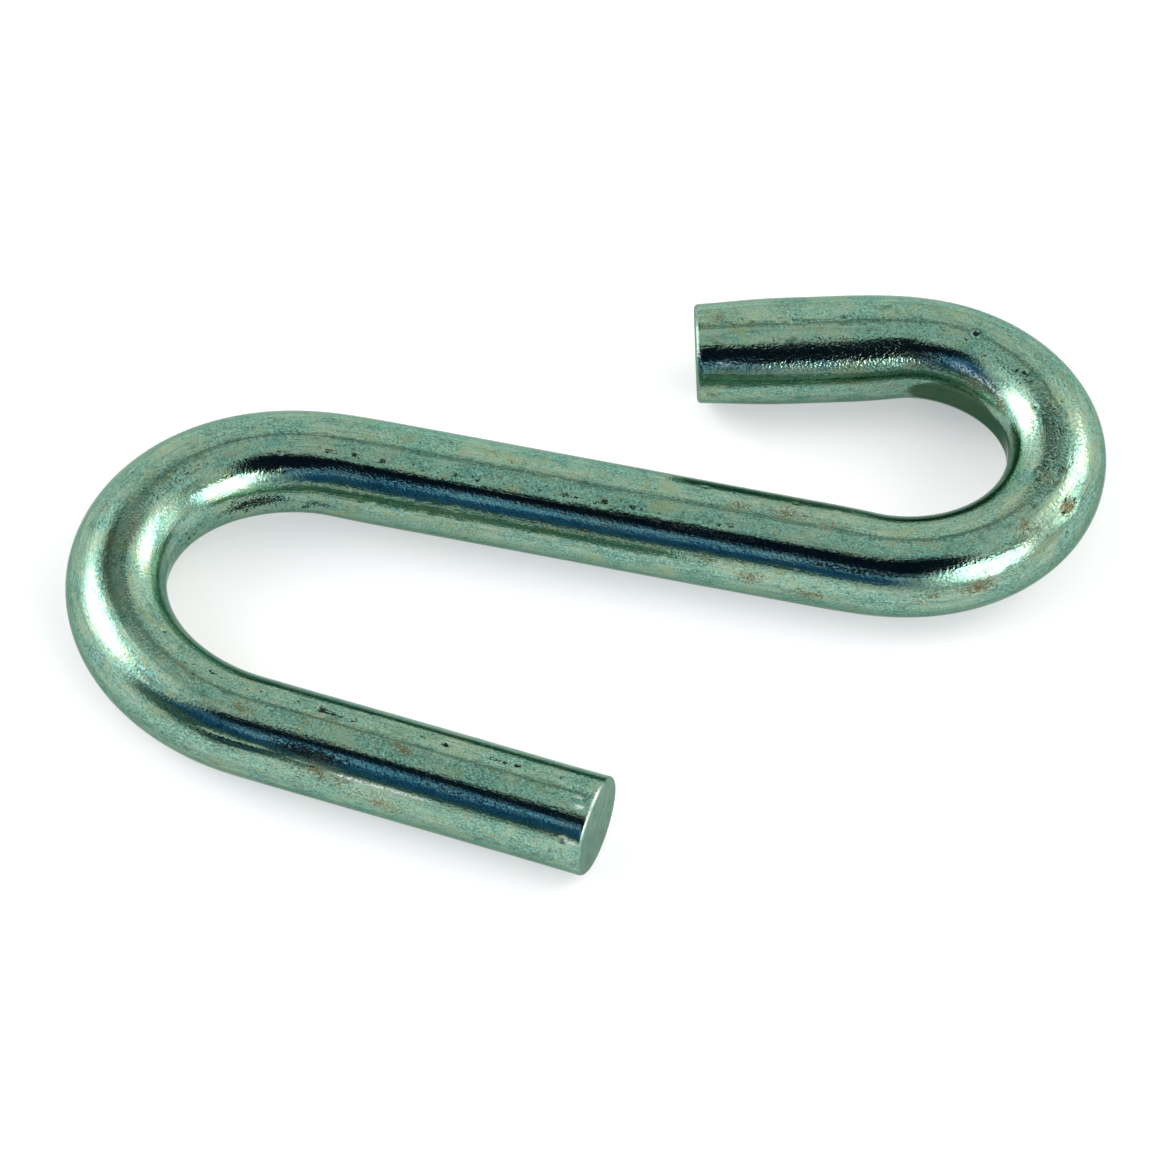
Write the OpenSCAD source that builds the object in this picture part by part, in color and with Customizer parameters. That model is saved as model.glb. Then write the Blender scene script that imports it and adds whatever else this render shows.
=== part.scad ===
// S hook bent cold from one length of round steel bar.
// It lies flat on the XY plane with its shank along X. The large bend is at -X and its long leg
// comes back below the shank; the small bend is at +X and its short leg comes back above it.

/* [Bar] */
// Diameter of the round bar
bar_d = 11.1; // [8:0.1:14]

/* [Shank] */
// Straight length of the shank, between the two bends
shank_length = 64.1; // [36:0.1:100]

/* [Large bend] */
// Radius of the mandrel that the large bend is formed round
large_mandrel_r = 11.2; // [9:0.1:16]
// Turn of the large bend, from the shank to the long leg: under 180 leaves the mouth open
large_turn = 173; // [160:0.5:180]
// Straight length of the long leg
long_leg = 40.8; // [25:0.1:55]

/* [Small bend] */
// Radius of the mandrel that the small bend is formed round
small_mandrel_r = 8.5; // [7:0.1:12]
// Turn of the small bend, from the shank to the short leg: over 180 closes the mouth in
small_turn = 193.5; // [180:0.5:200]
// Straight length of the short leg
short_leg = 23.4; // [17:0.1:30]

/* [Forming] */
// Diameter that the bar loses where it is stretched round a bend
stretch_loss = 0.2; // [0.1:0.05:0.4]
// Length of straight over which the bar necks down into a bend
neck_length = 3; // [2:0.5:4]
// Depth that each mandrel presses a flat into the inside of its bend
press_depth = 0.15; // [0.05:0.05:0.4]

/* [Sheared ends] */
// Width of the broken edge round each end
edge_break = 0.5; // [0.2:0.05:1]
// Length of each leg that the shear has drawn down
drawn_length = 10; // [6:0.5:12]
// Diameter that the long leg loses at its end
long_drawn_loss = 0.2; // [0.1:0.05:0.8]
// Diameter that the short leg loses at its end
short_drawn_loss = 0.6; // [0.1:0.05:1.2]
// How far the long leg's cut is out of square, in degrees: the side facing the shank is longer
long_cut_slant = 4; // [0:0.5:6]
// The same from top to bottom: the underside is longer
long_cut_rake = 4; // [0:0.5:6]
// How far the short leg's cut is out of square, in degrees: the side facing the shank is longer
short_cut_slant = 2; // [0:0.5:6]
// The same from top to bottom: the top side is longer
short_cut_rake = 3.5; // [0:0.5:6]

/* [Hidden] */
zinc = [0.60, 0.70, 0.64];
$fn = 96;

bar_r = bar_d / 2;
bend_r = bar_r - stretch_loss / 2;
// Radii of the bar's centreline in the bends, each sunk onto its mandrel by the press mark
large_r = large_mandrel_r + bend_r - press_depth;
small_r = small_mandrel_r + bend_r - press_depth;
// Directions of the two legs from their bends to their ends
long_heading = 180 + large_turn;
short_heading = small_turn;
// Centres of the two bends, with the middle of the shank at the origin
large_centre = [-shank_length / 2, -large_r];
small_centre = [shank_length / 2, small_r];
// Ends of the two bends, where the legs begin
long_start = large_centre + large_r * heading(large_turn + 90);
short_start = small_centre + small_r * heading(small_turn - 90);
// Outermost sides of the bar, for placing the origin under the middle of the hook
low_x = large_centre.x - large_r - bend_r;
high_x = small_centre.x + small_r + bend_r;
low_y = long_start.y + (long_leg - edge_break) * sin(long_heading)
    - (bar_r - long_drawn_loss / 2) * cos(long_heading);
high_y = small_centre.y + small_r + bend_r;
// A neck and its bend reach this far into each other
lap = 0.5;
// Anything that cuts reaches this far past what it cuts
overrun = bar_d;

// Unit vector at an angle from +X
function heading(angle) = [cos(angle), sin(angle)];

// Straight bar along +X from a bend that ends at the origin: its neck, then the full round
module straight(length) {
    slope = (bar_r - bend_r) / neck_length;
    rotate([0, 90, 0]) {
        translate([0, 0, -lap])
            cylinder(r1 = bend_r - lap * slope, r2 = bar_r, h = neck_length + lap);
        translate([0, 0, neck_length]) cylinder(r = bar_r, h = length - neck_length);
    }
}

// Half of the shank, from the bend at its -X end to the middle
module half_shank() {
    translate([-shank_length / 2, 0, 0]) straight(shank_length / 2);
}

// Bar swept through a turn about its own centre, starting at +X
module bend(centre_r, turn) {
    lap_angle = lap / centre_r * 180 / PI;
    rotate([0, 0, -lap_angle]) rotate_extrude(angle = turn + 2 * lap_angle)
        translate([centre_r, 0]) circle(r = bend_r);
}

// Mandrel that a bend is formed round, standing through the hook
module mandrel(r) {
    cylinder(r = r, h = bar_d + overrun, center = true);
}

// Leg along +X, whose last stretch loses some diameter, cut off at its length by a tilted face
module leg(length, loss, tilt) {
    end_r = bar_r - loss / 2;
    intersection() {
        union() {
            straight(length - drawn_length);
            translate([length - drawn_length, 0, 0]) rotate([0, 90, 0])
                cylinder(r1 = bar_r, r2 = end_r, h = drawn_length + edge_break);
        }
        translate([length, 0, 0]) rotate(tilt)
            behind_cut(end_r - edge_break, length + overrun);
    }
}

// All that lies behind a cut at the origin: its flat face, and outside that the broken edge
module behind_cut(face_r, depth) {
    rotate([0, -90, 0]) cylinder(r1 = face_r, r2 = face_r + depth, h = depth);
}

// The whole hook, one bar from end to end
module s_hook() {
    color(zinc)
        translate([-(low_x + high_x) / 2, -(low_y + high_y) / 2, bar_r])
            difference() {
                union() {
                    half_shank();
                    rotate([0, 0, 180]) half_shank();
                    translate(large_centre) rotate([0, 0, 90]) bend(large_r, large_turn);
                    translate(small_centre) rotate([0, 0, -90]) bend(small_r, small_turn);
                    translate(long_start) rotate([0, 0, long_heading])
                        leg(long_leg, long_drawn_loss, [0, -long_cut_rake, -long_cut_slant]);
                    translate(short_start) rotate([0, 0, short_heading])
                        leg(short_leg, short_drawn_loss, [0, short_cut_rake, -short_cut_slant]);
                }
                translate(large_centre) mandrel(large_mandrel_r);
                translate(small_centre) mandrel(small_mandrel_r);
            }
}

s_hook();
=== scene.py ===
import math
import numpy as np
import bpy
from mathutils import Matrix, Vector


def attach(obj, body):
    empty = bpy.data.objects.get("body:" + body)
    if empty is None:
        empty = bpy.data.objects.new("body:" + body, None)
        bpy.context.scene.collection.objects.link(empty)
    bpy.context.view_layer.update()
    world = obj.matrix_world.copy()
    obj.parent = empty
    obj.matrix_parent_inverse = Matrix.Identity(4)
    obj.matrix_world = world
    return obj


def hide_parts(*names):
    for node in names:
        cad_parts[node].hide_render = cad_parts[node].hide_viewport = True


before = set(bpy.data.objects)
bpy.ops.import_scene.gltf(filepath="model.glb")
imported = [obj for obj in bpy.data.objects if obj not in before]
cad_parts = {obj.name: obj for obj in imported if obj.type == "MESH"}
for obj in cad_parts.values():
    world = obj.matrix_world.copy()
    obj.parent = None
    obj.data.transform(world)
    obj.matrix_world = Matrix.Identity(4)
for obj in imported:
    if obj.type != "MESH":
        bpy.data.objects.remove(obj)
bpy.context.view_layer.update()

# One unit in metres, a little under a millimetre so that the looks stay inside the CAD model's box
UNIT = 0.0009935
# Diameter of the bar
BAR = 11.1

# Direction in which the centre line sets out from the long leg's end, in degrees
START_HEADING = 172.52
# Runs of the centre line: length of a straight or radius of a bend, and turn in degrees, which is
# 0 for a straight
RUNS = [
    (38.91, 0.0),  # long leg
    (19.97, -84.42),  # large bend, outer half
    (20.72, -88.10),  # large bend, inner half
    (56.18, 0.0),  # shank
    (17.82, 100.53),  # small bend, inner half
    (15.17, 97.07),  # small bend, outer half
    (21.16, 0.0),  # short leg
]
# Place of the shank in that list
SHANK = 3
# The bends are flatter than round: everything is this much narrower across the shank
FLATTEN = 0.8335
# Length over which one run passes into the next
EASE = 3.0
# Length of the short steps in which the centre line is drawn
LINE_STEP = 0.05
# How far ahead and behind the line's direction is taken
LINE_LOOK = 0.3
# Where the middle of the shank lies, its heading in degrees, and the height of the bar's axis
SHANK_MIDDLE = (1.485, 5.256)
SHANK_HEADING = -0.803
AXIS_HEIGHT = 5.571

# Diameters in each run as shares of the bar: (up and down, across)
SECTIONS = [
    (0.985, 0.974),
    (0.975, 0.975),
    (0.975, 0.975),
    (1.000, 1.000),
    (0.967, 0.967),
    (0.967, 0.967),
    (1.000, 1.034),
]
# Each section is full from this far inside its run, and passes into the next over the ease
SECTION_INSET = 2.0
SECTION_EASE = 9.0
# Sections at the two sheared ends, and the lengths over which the bar narrows to them
LONG_END_SECTION = (0.985, 0.988)
SHORT_END_SECTION = (0.950, 0.946)
LONG_END_LENGTH = 6.0
SHORT_END_LENGTH = 7.0
# Depth that each mandrel presses a flat into the inside of its bend
LARGE_PRESS = 0.15
SMALL_PRESS = 0.21
# Each flat is full from this far inside its bend, and fades over the ease beyond that
PRESS_INSET = 2.0
PRESS_EASE = 6.0

# Cuts: how far each leans, in degrees, so that its left side and its top stand further out, and
# how far the whole cut is moved outwards
LONG_CUT = {"left": -3.9, "up": -3.9, "offset": -0.40}
SHORT_CUT = {"left": 2.0, "up": 3.4, "offset": 0.21}
# Length of bar over which the lean of a cut dies away
CUT_BLEND = 3.0
# Width of the broken edge round each cut
RIM = 0.45
# How far each ring of the broken edge has the rougher look of the cut, from the face outwards
RIM_LOOKS = [1.0, 0.55, 0.55, 0.0]

# Rings of the mesh between the two broken edges, points in each ring, and rings on each cut's face
RINGS = 921
COLUMNS = 100
FACE_STEPS = 5
# Share by which the columns crowd towards the top, which the photograph shows
CROWD = 0.35

# Camera: angles in degrees, lens in millimetres
CAMERA_AZIMUTH = -83.709
CAMERA_ELEVATION = 58.239
CAMERA_ROLL = 4.546
CAMERA_DISTANCE = 1665.0
CAMERA_AIM = (0.812, -1.331, 1.566)
CAMERA_LENS = 483.57
CAMERA_SENSOR = 36.0

# Pits: along, around, half length, half width, depth, blackness
PITS = [
    (5.2, -14, 0.35, 0.25, 0.10, 0.8),
    (9.9, -14, 0.55, 0.28, 0.14, 1.0),
    (11.2, -14, 0.40, 0.30, 0.14, 1.0),
    (17.7, -14, 0.60, 0.28, 0.14, 1.0),
    (31.3, -14, 0.62, 0.42, 0.22, 1.0),
    (30.3, -12, 0.70, 0.24, 0.16, 1.0),
    (29.2, -11, 0.60, 0.14, 0.10, 1.0),
    (27.9, -10, 0.30, 0.16, 0.10, 1.0),
    (44.0, -16, 0.55, 0.28, 0.14, 0.9),
    (51.7, -22, 0.40, 0.28, 0.12, 0.8),
    (3.0, 56, 0.35, 0.30, 0.12, 1.0),
    (93.3, -19, 0.55, 0.22, 0.10, 0.8),
    (96.2, -19, 0.40, 0.20, 0.10, 0.8),
    (99.2, -20, 0.45, 0.22, 0.10, 0.8),
    (119.2, -19, 0.55, 0.22, 0.10, 0.9),
    (123.2, -19, 0.50, 0.24, 0.12, 1.0),
    (126.2, -19, 0.45, 0.22, 0.10, 0.9),
    (136.7, -19, 0.45, 0.22, 0.10, 0.8),
    (105.8, 24, 0.35, 0.25, 0.08, 0.8),
    (110.8, 24, 0.30, 0.25, 0.08, 0.7),
    (171.3, -41, 0.20, 0.42, 0.10, 0.9),
    (172.3, -33, 0.70, 0.18, 0.10, 1.0),
    (173.0, -42, 0.20, 0.40, 0.08, 0.9),
    (172.0, -48, 0.40, 0.16, 0.06, 0.8),
    (194.9, -1, 0.45, 0.40, 0.18, 1.0),
    (187.7, 8, 0.40, 0.32, 0.14, 1.0),
    (39.6, 53, 3.8, 0.22, 0.06, 0.85),
    (31.8, 56, 2.0, 0.18, 0.04, 0.60),
    (44.5, 47, 1.6, 0.18, 0.04, 0.60),
]
# The widest pit, in the outside of the small bend: the same fields
CRATER = (172.1, -40, 0.75, 0.70, 0.14, 0.12)
# Its raised lip: height, and size as a multiple of the crater's
LIP_HEIGHT = 0.02
LIP_SIZE = 1.5

# Clusters of small pits: along, around, half length, half width in degrees, how many, blackness
PIT_CLUSTERS = [
    (28.0, -14, 26.0, 2.5, 46, 0.8),
    (84.0, -82, 4.5, 16.0, 60, 1.0),
    (92.0, -93, 3.0, 8.0, 14, 0.9),
    (70.0, -84, 9.0, 10.0, 34, 0.9),
    (110.0, -19, 30.0, 2.5, 60, 0.8),
    (188.0, 12, 12.0, 9.0, 26, 0.8),
    (177.0, 2, 9.0, 16.0, 50, 0.7),
    (100.0, -62, 22.0, 16.0, 30, 0.5),
    (150.0, -72, 26.0, 16.0, 30, 0.5),
    (212.0, -8, 11.0, 18.0, 30, 0.6),
    (112.0, 18, 40.0, 18.0, 46, 0.5),
    (20.0, -50, 18.0, 22.0, 26, 0.5),
]
# Small pits: least half width, how much wider the widest are, the power that makes those few, and
# the usual depth
SMALL_PIT = 0.12
SMALL_PIT_SPREAD = 0.26
SMALL_PIT_RARITY = 3
SMALL_PIT_DEPTH = 0.06
# Least and most length in widths, depth as a share of the usual, and share of the cluster's
# blackness
PIT_LENGTHS = (1.0, 2.2)
PIT_DEPTHS = (0.5, 1.3)
PIT_BLACKS = (0.5, 1.0)
# How they gather about the middle of their cluster: a power along the bar, a share around it
GATHER_ALONG = 0.4
GATHER_AROUND = 0.55

# Dings: along, around, half length, half width, depth
DINGS = [
    (40.3, 54, 2.2, 1.0, 0.10),
    (38.0, 52, 5.0, 0.35, 0.060),
    (62.0, 10, 3.5, 1.6, 0.05),
    (158.6, -49, 2.4, 1.2, 0.08),
    (161.7, -43, 1.8, 1.0, 0.06),
    (170.8, -35, 3.0, 1.6, 0.06),
    (205.0, 30, 3.0, 0.8, 0.03),
]

# Rust: along, around, half length, half width, strength
RUST = [
    (21.7, 9, 1.2, 0.9, 0.75),
    (39.1, 14, 1.6, 0.8, 0.8),
    (42.5, 21, 0.9, 0.7, 0.6),
    (29.5, 61, 4.0, 2.0, 0.50),
    (24.0, 74, 6.5, 1.6, 0.36),
    (31.0, 46, 3.0, 1.2, 0.45),
    (21.9, 81, 3.4, 1.3, 0.45),
    (33.0, 8, 2.4, 1.0, 0.35),
    (46.0, 2, 3.0, 1.4, 0.35),
    (161.7, -63, 1.8, 1.2, 0.85),
    (179.5, 28, 2.6, 1.2, 0.50),
    (167.8, -20, 1.6, 0.8, 0.55),
    (157.0, -70, 2.0, 1.2, 0.4),
    (172.1, -40, 1.0, 0.8, 0.90),
    (137.2, 7, 1.6, 0.9, 0.60),
    (142.5, 10, 2.6, 1.2, 0.62),
    (147.2, 5, 1.8, 0.9, 0.60),
    (134.7, -60, 1.6, 0.9, 0.60),
    (139.7, -75, 1.8, 1.0, 0.62),
    (145.8, -85, 2.0, 1.2, 0.65),
    (187.1, 55, 2.0, 0.6, 0.8),
    (192.0, 55, 2.4, 0.5, 0.75),
    (222.3, -12, 0.7, 0.6, 0.9),
    (214.0, 2, 1.0, 0.8, 0.50),
    (223.1, 87, 0.7, 0.7, 0.7),
    (112.7, 9, 1.0, 0.6, 0.3),
]

# Frosty, duller plate: along, around, half length, half width in degrees, strength
FROST = [
    (80.0, -40, 5.0, 4.0, 0.5),
    (164.0, -38, 5.0, 4.0, 0.5),
    (176.0, -26, 9.0, 7.0, 0.4),
    (176.5, 2, 9.0, 12.0, 0.35),
    (209.0, 47, 13.0, 6.0, 0.8),
    (209.0, 35, 14.0, 9.0, 0.25),
    (66.0, -30, 8.0, 10.0, 0.2),
    (96.0, -40, 9.0, 6.0, 0.4),
]

# Painted glints, white and rougher spots: along, around, half length, half width, strength
PAINTED_GLINTS = [
    (23.0, 56, 5.5, 0.09, 1.0),
    (19.0, 54.5, 2.0, 0.11, 1.0),
    (26.4, 56.5, 2.0, 0.12, 1.0),
    (1.6, 55, 1.7, 0.20, 1.0),
    (0.25, 0, 0.22, 1.5, 0.9),
    (0.25, 24, 0.22, 1.3, 0.8),
    (2.0, 15, 0.9, 0.22, 0.9),
    (2.6, 4, 0.7, 0.20, 0.7),
    (224.4, 33, 0.35, 0.60, 1.0),
    (222.0, 44, 0.8, 0.30, 0.7),
    (194.6, 43, 2.0, 0.46, 0.9),
    (192.0, 45, 2.0, 0.42, 0.9),
    (189.4, 47, 1.6, 0.20, 0.8),
]

# Fine black dirt, and painted dark reflection on the crowns of the bends and along the legs' dark
# bands, both breaking up into specks: along, around, half length, half width in degrees, strength
DIRT_AND_PAINTED_REFLECTION = [
    (177.0, 6, 9.0, 10.0, 0.50),
    (189.0, 18, 6.0, 8.0, 0.42),
    (62.0, -6, 13.0, 8.0, 0.34),
    (84.0, -80, 6.0, 12.0, 0.75),
    (93.0, -88, 3.0, 7.0, 0.60),
    (33.0, 22, 9.0, 9.0, 0.36),
    (110.0, -12, 34.0, 4.0, 0.26),
    (212.0, 22, 12.0, 9.0, 0.36),
    (184.0, -24, 10.0, 10.0, 0.26),
    (200.0, 42, 5.0, 7.0, 0.62),
    (150.0, -42, 9.0, 4.5, 0.66),
    (134.0, -31, 8.0, 5.0, 0.45),
    (14.0, 38, 9.0, 5.0, 0.50),
    (31.0, 41, 6.0, 9.0, 0.74),
    (167.0, -28, 4.0, 6.0, 0.40),
    (75.0, -12, 8.0, 12.0, 0.36),
]

# Mandrel's mark inside the small bend, painted darker as painted shade: along, around, half length,
# half width in degrees, strength
PRESS_MARK_AND_PAINTED_SHADE = [
    (193.0, 94, 9.0, 27.0, 1.0),
    (180.0, 94, 13.0, 25.0, 0.9),
]

# How square the marks fall off: 2 fades like a bell, and more gives a crisper rim
SHARPNESS = {"pit": 3, "crater": 4, "lip": 2, "ding": 2, "dirt_and_painted_reflection": 3, "rust": 2, "frost": 3,
             "press": 8, "painted_glint": 5}
# A mark is worked out this many half lengths either way
MARK_REACH = 3.0

# Seeded unevenness of the surface: height, usual length of a wave, how many waves, and the most
# turns that a wave makes round the bar
UNEVENNESS = [
    (0.012, 26.0, 7, 2),
    (0.004, 60.0, 9, 24),
]
# Shortest and longest wave as shares of the usual length
WAVE_LENGTHS = (0.6, 1.8)
SEED = 7

# Noises of the plate: stretch along the bar, where less than 1 draws the noise out, then scale,
# detail, roughness and distortion
NOISES = {
    "drawn": (0.035, 1.6, 5.0, 0.60, 0.0),
    "lines": (0.05, 7.0, 3.0, 0.60, 0.0),
    "mottle": (0.6, 0.35, 6.0, 0.62, 0.4),
    "grain": (0.8, 4.7, 3.0, 0.72, 0.0),
    "hammered": (1.0, 3.0, 1.0, 0.50, 0.0),
    "stain": (0.5, 0.45, 5.0, 0.70, 0.6),
    "blotch": (0.75, 0.85, 6.0, 0.72, 0.5),
    "tint": (0.85, 2.6, 5.0, 0.85, 0.0),
}
# Colour of the plate, and of a sheared face: level of a noise and the colour there
PLATE = [
    (0.34, (0.122, 0.310, 0.252)),
    (0.50, (0.208, 0.376, 0.284)),
    (0.66, (0.322, 0.422, 0.302)),
]
FACE = [
    (0.35, (0.110, 0.200, 0.160)),
    (0.65, (0.235, 0.345, 0.280)),
]
# Tints over the plate in turn: noise, level where a tint starts, level where it is full, its share
# there, and its colour
TINTS = [
    ("tint", 0.51, 0.64, 0.45, (0.140, 0.360, 0.370)),
    ("tint", 0.48, 0.36, 0.40, (0.320, 0.420, 0.240)),
    ("drawn", 0.46, 0.64, 0.48, (0.120, 0.225, 0.170)),
    ("lines", 0.53, 0.66, 0.40, (0.085, 0.145, 0.110)),
]
# Dark specks and bright sparks over those: the same fields
SPECKLES = [
    ("grain", 0.52, 0.62, 0.85, (0.055, 0.100, 0.075)),
    ("grain", 0.47, 0.36, 0.65, (0.400, 0.600, 0.510)),
]
# They are fewer where the mottling is high: two levels of it, and the part of their share at each
SPECKLE_PATCHES = (0.62, 0.42, 0.40, 1.0)
# Stains over those: the same fields as the tints
STAINS = [
    ("stain", 0.52, 0.66, 0.50, (0.270, 0.330, 0.160)),
    ("blotch", 0.55, 0.66, 0.50, (0.290, 0.270, 0.165)),
]
# Levels between which each mark sets in, and its shares at the two where they aren't 0 and 1
MARK_LEVELS = {
    "soot": (0.42, 0.30, 0.0, 0.70),
    "rust": (0.15, 1.0),
    "rust onset": (0.03, 0.30),
    "black": (0.42, 0.66),
    "black onset": (0.05, 0.30),
    "press": (0.35, 0.80, 0.0, 0.88),
    "painted_glint": (0.42, 0.54),
}
# How strongly a noise breaks up each mark
BREAK_UP = {"soot": 0.6, "rust by blotch": 1.8, "rust by grain": 2.6, "black": 2.2, "press": 0.4}
# Colours of the marks, in the order in which they cover each other
MARK_COLOURS = {
    "soot": (0.045, 0.080, 0.060),
    "rust": (0.098, 0.082, 0.030),
    # black of the pits and dirt, and of the painted dark reflection among them
    "black": (0.014, 0.020, 0.017),
    # painted shade inside the small bend
    "press": (0.030, 0.070, 0.034),
    # painted glints, white
    "painted_glint": (0.95, 1.00, 0.96),
}
# Share of the sheared face's colour on a cut
CUT_COLOUR_SHARE = 0.85
# Roughness of the plate from smooth grain to coarse grain, and what each mark adds to it
GRAIN_LEVELS = (0.3, 0.7)
GRAIN_ROUGHNESS = (0.06, 0.15)
ADDED_ROUGHNESS = {"frost": 0.05, "rust": 0.35, "black": 0.30, "cut": 0.30, "painted_glint": 0.30}
# How much less metallic full rust is
RUST_DULLING = 0.45
# Relief of the noises on bright plate and on frosty plate, in steps of RELIEF_STEP metres
RELIEF = {
    "lines": (0.12, 0.12),
    "drawn": (0.35, 0.35),
    "grain": (0.14, 0.40),
    "hammered": (0.38, 3.0),
}
RELIEF_STEP = 0.00004
# Tint of the plate's reflections towards its outline
EDGE_TINT = (0.50, 0.60, 0.55, 1)

# Floor: half its size in metres, its grey, and the glow that makes it look white where unshaded
FLOOR_HALF = 4.0
FLOOR_GREY = 0.62
FLOOR_GLOW = 0.38

# Light of the room by elevation in degrees, where 1 is the white of the paper. Azimuths in the
# room start at the camera and grow towards the right of its picture.
ROOM = [
    (0.0, (1.0, 1.0, 1.0)),
    (45.0, (1.0, 0.98, 0.94)),
    (61.2, (0.90, 0.94, 0.92)),
    (90.0, (0.74, 0.86, 0.86)),
]
# Soft lamps: azimuth and elevation of the middle, radius of the bright core and of its glow in
# degrees, and the colours of the two
LAMPS = [
    (-100, 29, 18, 47, (7.0, 6.6, 6.6), (2.6, 2.6, 2.7)),  # left lamp
    (114, 30, 15, 44, (6.0, 5.6, 5.4), (2.1, 2.0, 1.95)),  # right lamp
    (93, 22, 9, 20, (2.9, 2.9, 2.8), (1.9, 1.85, 1.8)),  # right lamp, lower part
    (45, 26, 17, 28, (6.0, 6.0, 6.2), (1.7, 1.7, 1.7)),  # white card
]
# Darker things: the same fields
SHADES = [
    (-146, 53, 8, 19, (0.12, 0.14, 0.12), (0.45, 0.50, 0.44)),  # far ceiling beam
    (74, 50, 3, 12, (0.40, 0.42, 0.36), (0.80, 0.80, 0.76)),  # right ceiling gap
    (-68, 46, 3, 9, (0.50, 0.72, 0.90), (0.90, 1.05, 1.15)),  # blue edge of the left lamp
]
# Softness of both, as shares of the core's radius: where the glow is full, and where the core
# starts and is full
GLOW_FULL = 0.6
CORE_START = 1.35
CORE_FULL = 0.65

# Zones of the studio. Each edge says what is measured, in degrees, where the zone starts and where
# it is full: "aside" is the azimuth to either side, and "off strip" the distance from the strip.
BACK_WALL = [("aside", 118, 150), ("elevation", 60, 46)]
FAR_STRIP = [("off strip", 6, 2), ("aside", 118, 136)]
LOW_RIGHT = [("azimuth", 2, 12), ("elevation", 37, 29)]
HIGH_LEFT = [("azimuth", -24, -34), ("elevation", 24, 34), ("elevation", 60, 52)]
DARK_ZONE = [("in from left", -5, 5), ("in from right", -4, 4), ("elevation", 7, 13),
             ("above top", 2, -2)]
STRIP_ELEVATION = 57.5
# Edges of the dark side: the left and right ones' azimuths at two elevations, and the top one's
# elevations at two azimuths
DARK_LEFT = {"at": (28, 46), "edge": (-66, -52)}
DARK_RIGHT = {"at": (24, 58), "edge": (18, 50)}
DARK_TOP = {"at": (-10, 20), "edge": (71, 77)}
# Colours of the zones, and the share of the last two
BACK_WALL_COLOUR = (1.06, 1.08, 1.04)
FAR_STRIP_COLOUR = (0.30, 0.36, 0.34)
LOW_RIGHT_COLOUR = (0.55, 0.66, 0.72)
HIGH_LEFT_COLOUR = (0.025, 0.13, 0.30)
INNER_ZONE_SHARE = 0.7
# The dark side, which is the camera and its operator: its colour by elevation along slanting bands
DARK_BANDS = [
    (9, (0.16, 0.23, 0.20)),
    (16, (0.05, 0.11, 0.13)),
    (22, (0.03, 0.13, 0.26)),
    (29, (0.02, 0.13, 0.36)),
    (33, (0.015, 0.05, 0.15)),
    (35.5, (0.22, 0.42, 0.78)),
    (39.5, (0.52, 0.86, 1.30)),
    (43, (0.28, 0.44, 0.72)),
    (48, (0.003, 0.008, 0.028)),
    (73, (0.004, 0.010, 0.022)),
]
# Slant of the bands: their rise for each degree of azimuth, the azimuth where it is nothing, and
# the elevations between which it sets in, from the top down
BAND_SLANT = 0.45
BAND_AZIMUTH = -14.0
BAND_FADE = (66.0, 48.0)


def smooth_step(x):
    """Rise from 0 to 1 while x goes from 0 to 1"""
    x = np.clip(x, 0.0, 1.0)
    return x * x * (3.0 - 2.0 * x)


def blur(values, width):
    """Mean over a sliding window with soft ends, the first and last values held beyond the ends"""
    width = max(3, int(width) | 1)
    weights = np.hanning(width + 2)[1:-1]
    weights = weights / weights.sum()
    padded = np.pad(values, width // 2, mode="edge")
    return np.convolve(padded, weights, mode="valid")


def centre_line():
    """The bar's centre line in short steps: points, distances along it, and where each run ends"""
    headings = []
    ends = []
    heading = START_HEADING
    for size, turn in RUNS:
        length = size if turn == 0 else size * math.radians(abs(turn))
        count = int(round(length / LINE_STEP))
        headings.append(heading + turn * (np.arange(count) + 0.5) / count)
        heading += turn
        ends.append(count + (ends[-1] if ends else 0))
    headings = np.radians(blur(np.concatenate(headings), EASE / LINE_STEP))
    moves = np.stack([np.cos(headings), FLATTEN * np.sin(headings)], axis=1) * LINE_STEP
    points = np.concatenate([[[0.0, 0.0]], np.cumsum(moves, axis=0)])
    middle = points[(ends[SHANK - 1] + ends[SHANK]) // 2]
    turn = math.radians(SHANK_HEADING)
    spin = np.array([[math.cos(turn), -math.sin(turn)], [math.sin(turn), math.cos(turn)]])
    points = (points - middle) @ spin.T + np.array(SHANK_MIDDLE)
    along = np.concatenate([[0.0], np.cumsum(np.linalg.norm(np.diff(points, axis=0), axis=1))])
    return points, along, along[ends]


def sections(along, run_ends):
    """Half heights and half widths of the bar at each place along it"""
    total = run_ends[-1]
    keys = [(0.0, LONG_END_SECTION)]
    for start, end, section in zip([0.0, *run_ends[:-1]], run_ends, SECTIONS):
        keys.append((start + SECTION_INSET, section))
        keys.append((end - SECTION_INSET, section))
    keys.append((total, SHORT_END_SECTION))
    # The two legs have lengths of their own over which they narrow to their ends
    keys[1] = (LONG_END_LENGTH, SECTIONS[0])
    keys[-2] = (total - SHORT_END_LENGTH, SECTIONS[-1])
    places, shares = zip(*keys)
    tall, wide = [np.interp(along, places, values) for values in zip(*shares)]
    ease = SECTION_EASE / (along[1] - along[0])
    return blur(tall, ease) * BAR / 2, blur(wide, ease) * BAR / 2


def line_frame(along, line_along, points):
    """Centre, direction of travel and direction to its left, at each place along the bar"""
    centre, ahead, behind = [
        np.stack([np.interp(along + step, line_along, points[:, axis]) for axis in (0, 1)], axis=1)
        for step in (0.0, LINE_LOOK, -LINE_LOOK)]
    travel = (ahead - behind) / np.linalg.norm(ahead - behind, axis=1, keepdims=True)
    left = np.stack([-travel[:, 1], travel[:, 0]], axis=1)
    return centre, travel, left


def wrap(angle):
    """Angle brought to between -180 and 180 degrees"""
    return (angle + 180.0) % 360.0 - 180.0


def arc(angle):
    """Length round the bar of an angle in degrees"""
    return angle * math.radians(1) * BAR / 2


def in_lengths(marks):
    """Marks whose half widths are given in degrees, turned into lengths"""
    return [(*mark[:3], mark[3] * arc(1), mark[4]) for mark in marks]


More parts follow.
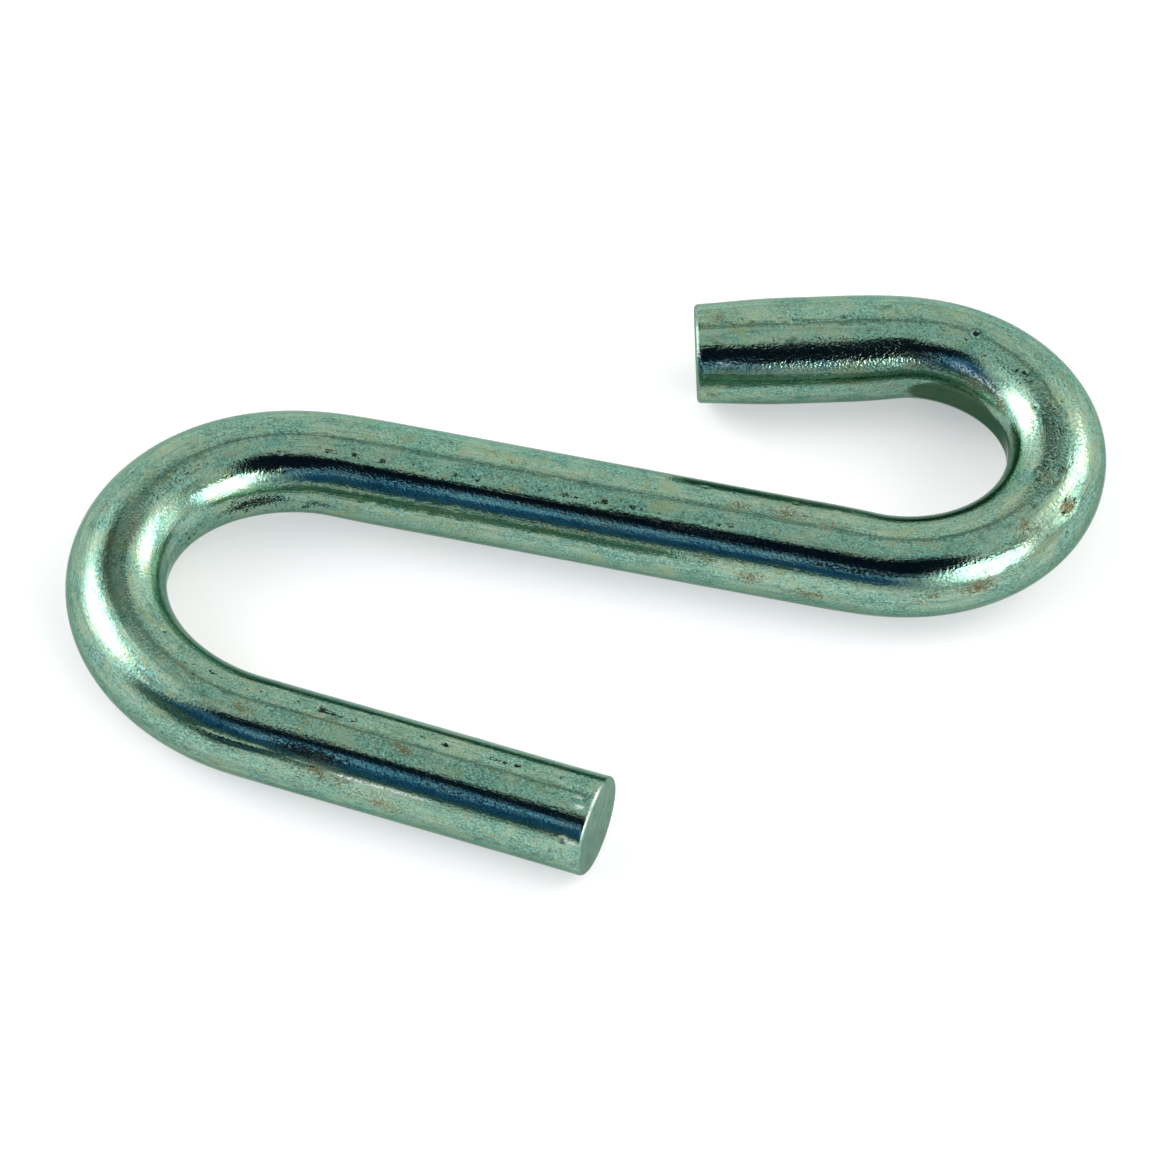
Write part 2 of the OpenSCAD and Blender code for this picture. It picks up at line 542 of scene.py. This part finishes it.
def spread(along, around, marks, kind):
    """Strength of marks of one kind over the bar: each is full in its middle and fades outwards"""
    total = np.zeros_like(along)
    for place, angle, half_length, half_width, strength in marks:
        rows = np.abs(along[:, 0] - place) < MARK_REACH * half_length
        across = arc(wrap(around[rows] - angle))
        reach = ((along[rows] - place) / half_length) ** 2 + (across / half_width) ** 2
        mark = strength * np.exp(-reach ** (SHARPNESS[kind] / 2))
        total[rows] = np.maximum(total[rows], mark)
    return total


def small_pits(rng):
    """Seeded small pits, from the list of clusters"""
    pits = []
    for place, angle, half_length, half_width, count, black in PIT_CLUSTERS:
        for _ in range(count):
            size = SMALL_PIT + SMALL_PIT_SPREAD * rng.random() ** SMALL_PIT_RARITY
            pit_place = place + half_length * rng.uniform(-1, 1) * rng.random() ** GATHER_ALONG
            pit_angle = angle + half_width * rng.normal() * GATHER_AROUND
            length = size * rng.uniform(*PIT_LENGTHS)
            depth = SMALL_PIT_DEPTH * rng.uniform(*PIT_DEPTHS)
            pit_black = black * rng.uniform(*PIT_BLACKS)
            pits.append((pit_place, pit_angle, length, size, depth, pit_black))
    return pits


def waves(rng, along, around, length, count, turns):
    """Gentle seeded unevenness, about -1 to 1: waves along the bar and a few turns round it"""
    total = np.zeros_like(along)
    for _ in range(count):
        wave = rng.uniform(*WAVE_LENGTHS) * length
        turn = int(rng.integers(-turns, turns + 1))
        total += np.sin(2 * math.pi * (along / wave + rng.random()) + turn * np.radians(around))
    return total / math.sqrt(count)


def surface(along, around):
    """Radial lift of the surface from all its marks, and the values painted on it"""
    rng = np.random.default_rng(SEED)
    lift = np.zeros_like(along)
    for height, length, count, turns in UNEVENNESS:
        lift += height * waves(rng, along, around, length, count, turns)
    pits = PITS + small_pits(rng)
    place, angle, half_length, half_width, depth, black = CRATER
    crater = (place, angle, half_length, half_width)
    lip = (place, angle, half_length * LIP_SIZE, half_width * LIP_SIZE, LIP_HEIGHT)
    lift -= spread(along, around, [pit[:5] for pit in pits], "pit")
    lift -= spread(along, around, DINGS, "ding")
    lift -= spread(along, around, [(*crater, depth + LIP_HEIGHT)], "crater")
    lift += spread(along, around, [lip], "lip")
    dark = spread(along, around, [(*pit[:4], pit[5]) for pit in pits], "pit")
    # Dirt, with painted dark reflection on the bends' crowns and the legs' dark bands
    dark = np.maximum(dark, spread(along, around, in_lengths(DIRT_AND_PAINTED_REFLECTION), "dirt_and_painted_reflection"))
    dark = np.maximum(dark, spread(along, around, [(*crater, black)], "crater"))
    return lift, {
        "dark": dark,
        "rust": spread(along, around, RUST, "rust"),
        "frost": spread(along, around, in_lengths(FROST), "frost"),
        # Painted shade inside the small bend, where the mandrel marked it
        "press": spread(along, around, in_lengths(PRESS_MARK_AND_PAINTED_SHADE), "press"),
        # Painted glints
        "painted_glint": spread(along, around, PAINTED_GLINTS, "painted_glint"),
    }


def end_rings(half_tall, half_wide):
    """Rings that close an end, one a row: distance in from the cut, share of the full section, and
    how far the ring has the look of the cut"""
    radius = (half_tall + half_wide) / 2
    rings = []
    for step in range(FACE_STEPS):
        rings.append((0.0, (radius - RIM) / radius * (step + 1) / FACE_STEPS, 1.0))
    for step, look in enumerate(RIM_LOOKS, 1):
        angle = math.radians(90 * (1 - step / len(RIM_LOOKS)))
        inset = RIM * (1 - math.cos(angle))
        rings.append((RIM * (1 - math.sin(angle)), (radius - inset) / radius, look))
    return np.array(rings)


def bar_rings(total, tall_line, wide_line):
    """All rings of the mesh: along, shares of the full section, and looks of the cut"""
    long_end = end_rings(tall_line[0], wide_line[0])
    short_end = end_rings(tall_line[-1], wide_line[-1])[::-1]
    body = np.linspace(RIM, total - RIM, RINGS + 2)[1:-1]
    along = np.concatenate([long_end[:, 0], body, total - short_end[:, 0]])
    shares = np.concatenate([long_end[:, 1], np.ones(RINGS), short_end[:, 1]])
    looks = np.concatenate([long_end[:, 2], np.zeros(RINGS), short_end[:, 2]])
    return along, shares[:, None], looks[:, None]


def pressed(along, start, end):
    """1 where a mandrel pressed a bend that has this start and end, fading to 0 beyond them"""
    from_start = (along - (start + PRESS_INSET)) / PRESS_EASE
    to_end = (end - PRESS_INSET - along) / PRESS_EASE
    return smooth_step(from_start + 1) * smooth_step(to_end + 1)


def press_flats(along, side, wide, run_ends):
    """Clip the inside of each bend where its mandrel pressed it"""
    large = pressed(along, run_ends[0], run_ends[SHANK - 1])[:, None] * LARGE_PRESS
    small = pressed(along, run_ends[SHANK], run_ends[-2])[:, None] * SMALL_PRESS
    right_limit = np.where(large > 0, large - wide, -BAR)
    left_limit = np.where(small > 0, wide - small, BAR)
    return np.clip(side, right_limit, left_limit)


def cut_shift(along, total, up, side):
    """How far each point moves along the travel so that the two cuts lean"""
    shift = np.zeros_like(up)
    for cut, distance, sign in ((LONG_CUT, along, -1.0), (SHORT_CUT, total - along, 1.0)):
        share = smooth_step(1 - distance / CUT_BLEND)[:, None]
        lean = math.tan(math.radians(cut["left"])) * side + math.tan(math.radians(cut["up"])) * up
        shift += sign * share * (lean + cut["offset"])
    return shift


def bar_grid():
    """Points of the bar's surface, ring by ring, the same points on the bar before it was bent,
    and the values painted on them"""
    points, line_along, run_ends = centre_line()
    total = run_ends[-1]
    tall_line, wide_line = sections(line_along, run_ends)
    along, shares, looks = bar_rings(total, tall_line, wide_line)
    centre, travel, left = line_frame(along, line_along, points)
    tall = np.interp(along, line_along, tall_line)[:, None]
    wide = np.interp(along, line_along, wide_line)[:, None]
    turn = np.linspace(0, 2 * math.pi, COLUMNS, endpoint=False)
    angle = turn - CROWD * np.sin(turn)
    along_grid, around_grid = np.meshgrid(along, wrap(np.degrees(angle)), indexing="ij")
    lift, paint = surface(along_grid, around_grid)
    lift = lift * (shares == 1)
    up = (tall + lift) * np.cos(angle) * shares
    side = press_flats(along, (wide + lift) * np.sin(angle), wide, run_ends) * shares
    shift = cut_shift(along, total, up, side)
    place = centre[:, None] + side[..., None] * left[:, None] + shift[..., None] * travel[:, None]
    grid = np.concatenate([place, (AXIS_HEIGHT + up)[..., None]], axis=2)
    straight = np.stack([along_grid, up, side], axis=2)
    paint["cut"] = np.repeat(looks, COLUMNS, axis=1)
    return grid, straight, paint


def paint_values(mesh, straight, paint):
    """Write the place on the straight bar and the painted values to the mesh, the middles of the
    two cuts last"""
    middles = [[straight[0, 0, 0], 0.0, 0.0], [straight[-1, 0, 0], 0.0, 0.0]]
    bar = mesh.attributes.new("bar", "FLOAT_VECTOR", "POINT")
    bar.data.foreach_set("vector", np.concatenate([straight.reshape(-1, 3), middles]).ravel())
    for name, values in paint.items():
        layer = mesh.attributes.new(name, "FLOAT", "POINT")
        middles = [values[0, 0], values[-1, 0]]
        layer.data.foreach_set("value", np.concatenate([values.ravel(), middles]))


def make_mesh():
    """The bar as one mesh with its painted values as attributes"""
    grid, straight, paint = bar_grid()
    rings, columns = grid.shape[:2]
    middles = [grid[0].mean(axis=0), grid[-1].mean(axis=0)]
    vertices = np.concatenate([grid.reshape(-1, 3), middles]) * UNIT
    index = np.arange(rings * columns).reshape(rings, columns)
    turned = np.roll(index, -1, axis=1)
    quads = np.stack([index[:-1], index[1:], turned[1:], turned[:-1]], axis=2).reshape(-1, 4)
    long_middle = rings * columns
    short_middle = long_middle + 1
    long_cap = [(long_middle, *edge) for edge in zip(index[0].tolist(), turned[0].tolist())]
    short_cap = [(short_middle, *edge) for edge in zip(turned[-1].tolist(), index[-1].tolist())]
    mesh = bpy.data.meshes.new("hook_bar")
    mesh.from_pydata(vertices.tolist(), [], quads.tolist() + long_cap + short_cap)
    mesh.shade_smooth()
    paint_values(mesh, straight, paint)
    return mesh


class Tree:
    """Short calls for building a node tree"""

    def __init__(self, node_tree):
        self.node_tree = node_tree
        self.node_tree.nodes.clear()

    def add(self, kind, inputs=None, **settings):
        """Add a node, set its settings, and set or link its inputs by name or number"""
        node = self.node_tree.nodes.new(kind)
        for key, value in settings.items():
            setattr(node, key, value)
        for key, value in (inputs or {}).items():
            if isinstance(value, bpy.types.NodeSocket):
                self.node_tree.links.new(value, node.inputs[key])
            else:
                node.inputs[key].default_value = value
        return node

    def math(self, operation, first, second=0.0):
        """A math node's result"""
        return self.add("ShaderNodeMath", {0: first, 1: second}, operation=operation).outputs[0]

    def times(self, first, second):
        """Two values multiplied"""
        return self.math("MULTIPLY", first, second)

    def plus(self, value, other, share):
        """A value plus a share of another"""
        return self.math("ADD", value, self.times(other, share))

    def less(self, first, second):
        """The first value less the second"""
        return self.math("SUBTRACT", first, second)

    def ragged(self, value, noise, amount):
        """A value made uneven by a noise that is about 0.5 on average"""
        return self.plus(value, self.less(noise, 0.5), amount)

    def rise(self, value, start, full, out_start=0.0, out_full=1.0):
        """Soft rise of a value from one level to another"""
        inputs = {0: value, 1: start, 2: full, 3: out_start, 4: out_full}
        node = self.add("ShaderNodeMapRange", inputs, interpolation_type="SMOOTHSTEP")
        return node.outputs[0]

    def slide(self, value, low, high, out_low, out_high):
        """Straight-line change of a value from one level to another"""
        inputs = {0: value, 1: low, 2: high, 3: out_low, 4: out_high}
        return self.add("ShaderNodeMapRange", inputs).outputs[0]

    def mix(self, share, under, over):
        """One colour laid over another; the upper may be given as its three numbers"""
        if isinstance(over, tuple):
            over = (*over, 1)
        inputs = {0: share, 6: under, 7: over}
        return self.add("ShaderNodeMix", inputs, data_type="RGBA").outputs[2]

    def ramp(self, value, stops):
        """Colour ramp with the given (position, colour) stops"""
        node = self.add("ShaderNodeValToRGB", {0: value})
        elements = node.color_ramp.elements
        for stop in stops[1:-1]:
            elements.new(stop[0])
        for element, (position, colour) in zip(elements, stops):
            element.position = position
            element.color = (*colour, 1)
        return node.outputs[0]

    def noise(self, vector, stretch, scale, detail, rough, distort):
        """Seam-free noise, about 0.5 on average, its first axis scaled by the stretch"""
        factors = {0: vector, 1: (stretch, 1.0, 1.0)}
        scaled = self.add("ShaderNodeVectorMath", factors, operation="MULTIPLY").outputs[0]
        inputs = {"Vector": scaled, "Scale": scale, "Detail": detail, "Roughness": rough,
                  "Distortion": distort}
        return self.add("ShaderNodeTexNoise", inputs).outputs["Fac"]

    def painted(self, name, output="Fac"):
        """A value painted on the mesh"""
        return self.add("ShaderNodeAttribute", attribute_name=name).outputs[output]


def tinted(tree, colour, noise, tints):
    """A colour with tints laid over it, each where its noise passes a level"""
    for name, start, full, most, tint in tints:
        colour = tree.mix(tree.rise(noise[name], start, full, 0.0, most), colour, tint)
    return colour


def speckled(tree, colour, noise):
    """A colour with specks and sparks laid over it, in patches"""
    patchy = tree.rise(noise["mottle"], *SPECKLE_PATCHES)
    for name, start, full, most, tint in SPECKLES:
        share = tree.times(patchy, tree.rise(noise[name], start, full, 0.0, most))
        colour = tree.mix(share, colour, tint)
    return colour


def mark_shares(tree, noise):
    """Share of each kind of mark: the painted values, broken up by the noises"""
    grain = noise["grain"]
    blotch = noise["blotch"]
    rust = tree.painted("rust")
    dark = tree.painted("dark")
    soot = tree.ragged(blotch, grain, BREAK_UP["soot"])
    rusty = tree.ragged(rust, blotch, BREAK_UP["rust by blotch"])
    rusty = tree.ragged(rusty, grain, BREAK_UP["rust by grain"])
    rusty = tree.times(rusty, tree.rise(rust, *MARK_LEVELS["rust onset"]))
    # Black of the pits and dirt, and of the painted dark reflection among them
    black = tree.ragged(dark, grain, BREAK_UP["black"])
    black = tree.times(black, tree.rise(dark, *MARK_LEVELS["black onset"]))
    # Painted shade inside the small bend
    press = tree.plus(tree.painted("press"), grain, BREAK_UP["press"])
    return {
        "soot": tree.rise(soot, *MARK_LEVELS["soot"]),
        "rust": tree.rise(rusty, *MARK_LEVELS["rust"]),
        "black": tree.rise(black, *MARK_LEVELS["black"]),
        "press": tree.rise(press, *MARK_LEVELS["press"]),
        # Painted glints, broken up by the grain
        "painted_glint": tree.times(tree.painted("painted_glint"), tree.rise(grain, *MARK_LEVELS["painted_glint"])),
        "frost": tree.painted("frost"),
        "cut": tree.painted("cut"),
    }


def plate_colour(tree, noise, share):
    """Colour of the plate with its tints, speckles, stains and marks, among them painted dark
    reflection, painted shade and painted glints
    """
    colour = tree.ramp(noise["mottle"], PLATE)
    colour = tinted(tree, colour, noise, TINTS)
    colour = speckled(tree, colour, noise)
    colour = tinted(tree, colour, noise, STAINS)
    for name, mark in MARK_COLOURS.items():
        colour = tree.mix(share[name], colour, mark)
    face = tree.ramp(noise["blotch"], FACE)
    return tree.mix(tree.times(share["cut"], CUT_COLOUR_SHARE), colour, face)


def plate_relief(tree, noise, frost):
    """Bumped normal of the plate: drawn lines and grain, stronger where it is frosty"""
    height = 0.0
    for name, (bright, frosty) in RELIEF.items():
        height = tree.plus(height, noise[name], tree.slide(frost, 0.0, 1.0, bright, frosty))
    inputs = {"Strength": 1.0, "Distance": RELIEF_STEP, "Height": height}
    return tree.add("ShaderNodeBump", inputs).outputs[0]


def zinc():
    """Bright zinc plate on drawn bar: streaked, speckled, pitted and here and there rusty, with
    painted glints, painted shade and painted dark reflection
    """
    material = bpy.data.materials.new("zinc_plate")
    material.use_nodes = True
    tree = Tree(material.node_tree)
    bar = tree.painted("bar", "Vector")
    noise = {name: tree.noise(bar, *values) for name, values in NOISES.items()}
    share = mark_shares(tree, noise)
    roughness = tree.slide(noise["grain"], *GRAIN_LEVELS, *GRAIN_ROUGHNESS)
    for name, added in ADDED_ROUGHNESS.items():
        roughness = tree.plus(roughness, share[name], added)
    shader = tree.add("ShaderNodeBsdfPrincipled", {
        "Base Color": plate_colour(tree, noise, share),
        "Metallic": tree.less(1.0, tree.times(share["rust"], RUST_DULLING)),
        "Roughness": roughness,
        "Normal": plate_relief(tree, noise, share["frost"]),
        "Specular Tint": EDGE_TINT,
    })
    tree.add("ShaderNodeOutputMaterial", {"Surface": shader.outputs[0]})
    return material


def paper():
    """Plain pale paper that looks white where nothing shades it"""
    material = bpy.data.materials.new("floor_paper")
    material.use_nodes = True
    tree = Tree(material.node_tree)
    grey = (FLOOR_GREY, FLOOR_GREY, FLOOR_GREY, 1)
    diffuse = tree.add("ShaderNodeBsdfDiffuse", {"Color": grey})
    path = tree.add("ShaderNodeLightPath")
    seen = tree.math("MAXIMUM", path.outputs["Is Camera Ray"], path.outputs["Is Glossy Ray"])
    seen = tree.math("MAXIMUM", seen, path.outputs["Is Transmission Ray"])
    white = {"Color": (1, 1, 1, 1), "Strength": tree.times(seen, FLOOR_GLOW)}
    glow = tree.add("ShaderNodeEmission", white)
    both = tree.add("ShaderNodeAddShader", {0: diffuse.outputs[0], 1: glow.outputs[0]})
    tree.add("ShaderNodeOutputMaterial", {"Surface": both.outputs[0]})
    return material


def floor():
    """Flat sheet of paper under the hook"""
    mesh = bpy.data.meshes.new("floor_sheet")
    outline = [(x * FLOOR_HALF, y * FLOOR_HALF, 0) for x, y in ((-1, -1), (1, -1), (1, 1), (-1, 1))]
    mesh.from_pydata(outline, [], [(0, 1, 2, 3)])
    mesh.materials.append(paper())
    sheet = bpy.data.objects.new("floor_sheet", mesh)
    bpy.context.collection.objects.link(sheet)


def direction(azimuth, elevation):
    """Unit vector from an azimuth and an elevation in degrees"""
    side = math.radians(azimuth)
    rise = math.radians(elevation)
    return (math.cos(side) * math.cos(rise), math.sin(side) * math.cos(rise), math.sin(rise))


def degrees(tree, radians):
    """An angle in degrees"""
    return tree.times(radians, math.degrees(1))


def by_elevation(tree, elevation, stops):
    """Colour by elevation, from (degrees, colour) stops"""
    shares = [(degree / 90, colour) for degree, colour in stops]
    return tree.ramp(tree.math("DIVIDE", elevation, 90.0), shares)


def zone(tree, measure, edges):
    """Share of a zone that has soft edges"""
    share = 1.0
    for name, start, full in edges:
        share = tree.times(share, tree.rise(measure[name], start, full))
    return share


def measures(tree, azimuth, elevation):
    """All that the edges of the zones are measured by"""
    left = tree.slide(elevation, *DARK_LEFT["at"], *DARK_LEFT["edge"])
    right = tree.slide(elevation, *DARK_RIGHT["at"], *DARK_RIGHT["edge"])
    top = tree.slide(azimuth, *DARK_TOP["at"], *DARK_TOP["edge"])
    return {
        "azimuth": azimuth,
        "elevation": elevation,
        "aside": tree.math("ABSOLUTE", azimuth),
        "off strip": tree.math("ABSOLUTE", tree.less(elevation, STRIP_ELEVATION)),
        "in from left": tree.less(azimuth, left),
        "in from right": tree.less(right, azimuth),
        "above top": tree.less(elevation, top),
    }


def with_lamps(tree, light, way):
    """Light of the room with the lamps and shades laid over it"""
    for azimuth, elevation, core, glow, core_colour, glow_colour in LAMPS + SHADES:
        inputs = {0: way, 1: direction(azimuth, elevation)}
        facing = tree.add("ShaderNodeVectorMath", inputs, operation="DOT_PRODUCT").outputs["Value"]
        angle = degrees(tree, tree.math("ARCCOSINE", facing))
        glow_share = tree.rise(angle, glow, core * GLOW_FULL)
        core_share = tree.rise(angle, core * CORE_START, core * CORE_FULL)
        light = tree.mix(glow_share, light, glow_colour)
        light = tree.mix(core_share, light, core_colour)
    return light


def dark_side(tree, measure):
    """Colour of the dark side: slanting bands, with a paler zone and a bluer one"""
    slant = tree.times(tree.less(measure["azimuth"], BAND_AZIMUTH), BAND_SLANT)
    fade = tree.rise(measure["elevation"], *BAND_FADE)
    dark = by_elevation(tree, tree.plus(measure["elevation"], slant, fade), DARK_BANDS)
    for edges, colour in ((LOW_RIGHT, LOW_RIGHT_COLOUR), (HIGH_LEFT, HIGH_LEFT_COLOUR)):
        dark = tree.mix(tree.times(zone(tree, measure, edges), INNER_ZONE_SHARE), dark, colour)
    return dark


def studio():
    """Soft white studio, dark on the camera's side; white to the camera itself"""
    world = bpy.data.worlds.new("studio")
    bpy.context.scene.world = world
    world.use_nodes = True
    tree = Tree(world.node_tree)
    out = tree.add("ShaderNodeTexCoord").outputs["Generated"]
    turn = {"Vector": out, "Angle": math.radians(-CAMERA_AZIMUTH)}
    way = tree.add("ShaderNodeVectorRotate", turn, rotation_type="Z_AXIS").outputs[0]
    parts = tree.add("ShaderNodeSeparateXYZ", {0: way}).outputs
    azimuth = degrees(tree, tree.math("ARCTAN2", parts[1], parts[0]))
    elevation = degrees(tree, tree.math("ARCSINE", parts[2]))
    measure = measures(tree, azimuth, elevation)
    light = by_elevation(tree, elevation, ROOM)
    light = tree.mix(zone(tree, measure, BACK_WALL), light, BACK_WALL_COLOUR)
    light = with_lamps(tree, light, way)
    light = tree.mix(zone(tree, measure, FAR_STRIP), light, FAR_STRIP_COLOUR)
    light = tree.mix(zone(tree, measure, DARK_ZONE), light, dark_side(tree, measure))
    seen = tree.add("ShaderNodeLightPath").outputs["Is Camera Ray"]
    light = tree.mix(seen, light, (1, 1, 1))
    back = tree.add("ShaderNodeBackground", {"Color": light, "Strength": 1.0})
    tree.add("ShaderNodeOutputWorld", {"Surface": back.outputs[0]})


def camera():
    """Camera above the near side, a little rolled"""
    side = math.radians(CAMERA_AZIMUTH)
    roll = math.radians(CAMERA_ROLL)
    back = Vector(direction(CAMERA_AZIMUTH, CAMERA_ELEVATION))
    level = Vector((-math.sin(side), math.cos(side), 0))
    upright = back.cross(level)
    right = math.cos(roll) * level + math.sin(roll) * upright
    up = -math.sin(roll) * level + math.cos(roll) * upright
    matrix = Matrix((right, up, back)).transposed().to_4x4()
    matrix.translation = (Vector(CAMERA_AIM) + CAMERA_DISTANCE * back) * UNIT
    data = bpy.data.cameras.new("photo_camera")
    data.sensor_width = CAMERA_SENSOR
    data.lens = CAMERA_LENS
    eye = bpy.data.objects.new("photo_camera", data)
    eye.matrix_world = matrix
    bpy.context.collection.objects.link(eye)
    bpy.context.scene.camera = eye


def hook():
    """The hook, standing in for the CAD node"""
    mesh = make_mesh()
    mesh.materials.append(zinc())
    piece = bpy.data.objects.new("hook_bar", mesh)
    bpy.context.collection.objects.link(piece)
    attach(piece, "root")
    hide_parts("s_hook")


def main():
    """Build the hook, the studio and the camera"""
    hook()
    floor()
    studio()
    camera()
    bpy.context.scene.view_settings.view_transform = "Standard"


main()
